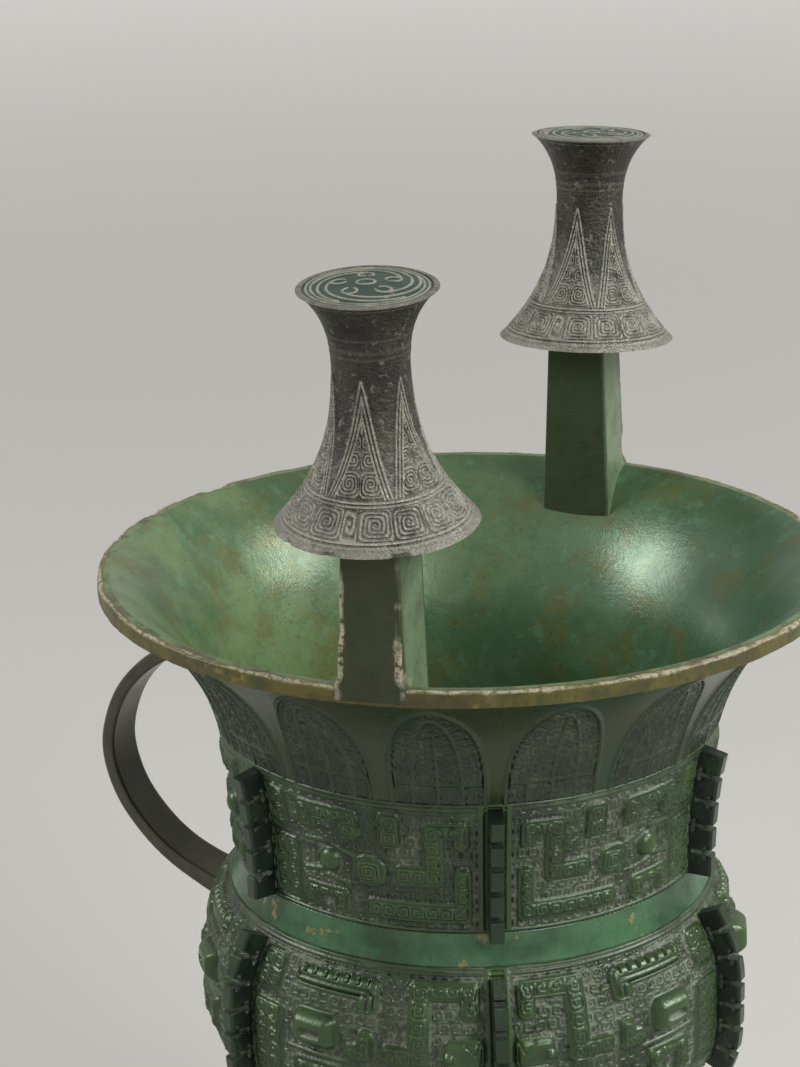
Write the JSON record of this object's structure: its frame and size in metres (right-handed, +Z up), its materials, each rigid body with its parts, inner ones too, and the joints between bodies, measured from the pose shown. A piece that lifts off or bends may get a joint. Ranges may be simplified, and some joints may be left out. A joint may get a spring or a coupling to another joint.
{
  "type": "wine vessel",
  "caption": "Round bronze ritual wine vessel with a flared mouth, tall capped posts on the lip, a strap handle, notched flanges and splayed legs.",
  "frame": {"origin": "middle of the object's box at the level of the floor that the feet stand on; the vessel's axis stands 10.25 mm from it towards +X, because only the handle reaches past the rim", "axes": "+Z up along the vessel's axis, -X towards the handle, -Y towards the front post"},
  "size_m": [0.3107, 0.3306, 0.5253],
  "materials": {
    "bronze_body": "cast bronze with smooth green patina",
    "bronze_leg": "cast bronze with dark green patina",
    "bronze_post": "cast bronze with worn olive patina",
    "bronze_cap": "cast bronze with smooth grey-black patina",
    "bronze_handle": "cast bronze with dark olive patina",
    "bronze_flange": "cast bronze with dark patina",
    "bronze_spacer": "cast bronze, ground flush",
    "clay_core": "fired casting clay, matt"
  },
  "bodies": {
    "root": {"vessel_body": "bronze_body", "leg_front": "bronze_leg", "leg_front_core": "clay_core", "leg_rear": "bronze_leg", "leg_rear_core": "clay_core", "leg_handle_side": "bronze_leg", "leg_handle_side_core": "clay_core", "post_front": "bronze_post", "cap_front": "bronze_cap", "cap_front_core": "clay_core", "post_rear": "bronze_post", "cap_rear": "bronze_cap", "cap_rear_core": "clay_core", "handle": "bronze_handle", "neck_flange_1": "bronze_flange", "belly_flange_1": "bronze_flange", "neck_flange_2": "bronze_flange", "belly_flange_2": "bronze_flange", "neck_flange_3": "bronze_flange", "belly_flange_3": "bronze_flange", "neck_flange_4": "bronze_flange", "belly_flange_4": "bronze_flange", "neck_flange_5": "bronze_flange", "belly_flange_5": "bronze_flange", "handle_flange": "bronze_flange", "floor_spacer_1": "bronze_spacer", "floor_spacer_2": "bronze_spacer", "floor_spacer_3": "bronze_spacer"}
  },
  "joints": []
}
